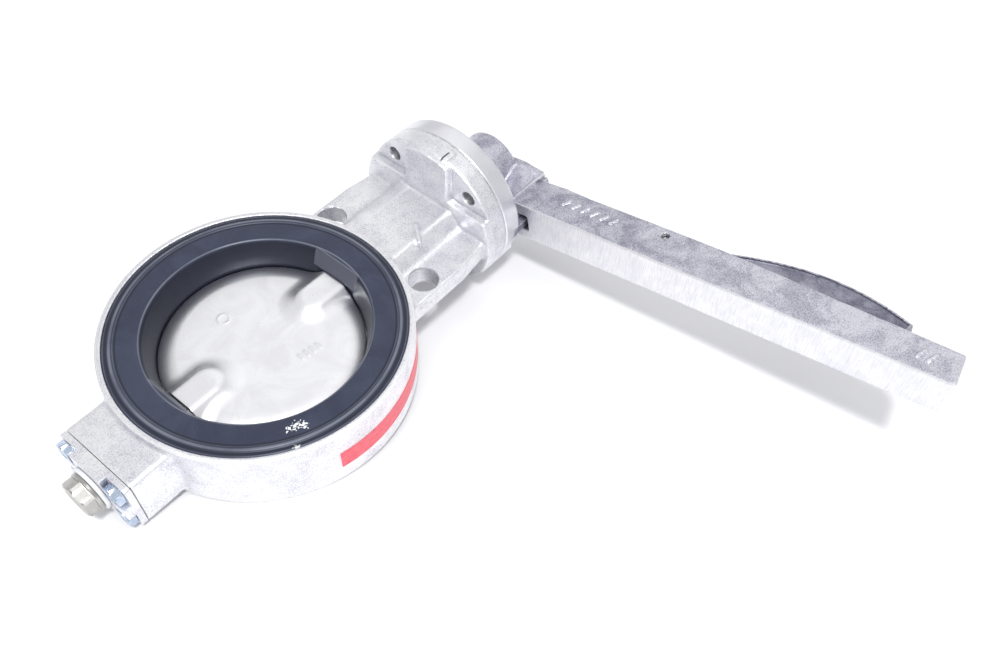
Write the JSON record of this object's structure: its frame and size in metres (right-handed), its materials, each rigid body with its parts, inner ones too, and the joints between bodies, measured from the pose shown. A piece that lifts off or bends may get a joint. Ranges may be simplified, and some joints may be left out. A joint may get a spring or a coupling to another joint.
{
  "type": "wafer butterfly valve",
  "caption": "Wafer butterfly valve in cast aluminium with a rubber seat, turning disc, notch plate and a hand lever whose squeeze trigger latches in the notches",
  "frame": {"origin": "bottom centre of the box at rest", "axes": "+Z along the bore and up, +X along the stem from the bottom cover to the lever, -Y along the lever arm at rest (valve open or shut as the disc lies across the bore at rest: shut)"},
  "size_m": [0.4126, 0.4775, 0.1393],
  "materials": {
    "cast_aluminium": "bright die-cast, satin",
    "lever_casting": "blue-grey as-cast",
    "black_rubber": "satin moulded",
    "stainless_steel": "turned",
    "blue_zinc": "bright blue zinc plate",
    "bush_bronze": "sintered",
    "white_nylon": "smooth",
    "red_tape": "printed film"
  },
  "bodies": {
    "body": {"body_casting": "cast_aluminium", "seat_liner": "black_rubber", "marking_tape": "red_tape", "upper_bush": "bush_bronze", "flange_bush": "bush_bronze", "lower_bush": "bush_bronze", "upper_stem_seal": "black_rubber", "lower_stem_seal": "black_rubber", "bottom_cover": "cast_aluminium", "cover_seal": "black_rubber", "cover_bolt_1": "blue_zinc", "cover_bolt_2": "blue_zinc", "cover_bolt_3": "blue_zinc", "cover_bolt_4": "blue_zinc", "thrust_washer": "white_nylon", "notch_plate": "cast_aluminium", "plate_screw_1": "blue_zinc", "plate_screw_2": "blue_zinc", "plate_screw_3": "blue_zinc"},
    "stem": {"disc": "cast_aluminium", "drive_shaft": "stainless_steel", "stub_shaft": "stainless_steel", "retaining_ring": "stainless_steel", "lever_washer": "blue_zinc", "lever_screw": "blue_zinc", "lever": "lever_casting", "trigger_spring": "stainless_steel", "trigger_pin": "stainless_steel"},
    "trigger": {"trigger": "lever_casting"}
  },
  "joints": [
    {"name": "valve_turn", "type": "hinge", "parent": "body", "child": "stem", "pos_m": [-0.05546, 0.13844, 0.0615], "axis": [1, 0, 0], "range_deg": [0, 90]},
    {"name": "trigger_squeeze", "type": "hinge", "parent": "stem", "child": "trigger", "pos_m": [0.18044, -0.02599, 0.09495], "axis": [0, -0.1994, -0.9799], "range_deg": [0, 3.5], "stiffness_Nm_per_rad": 3, "springref_deg": -6.88}
  ]
}
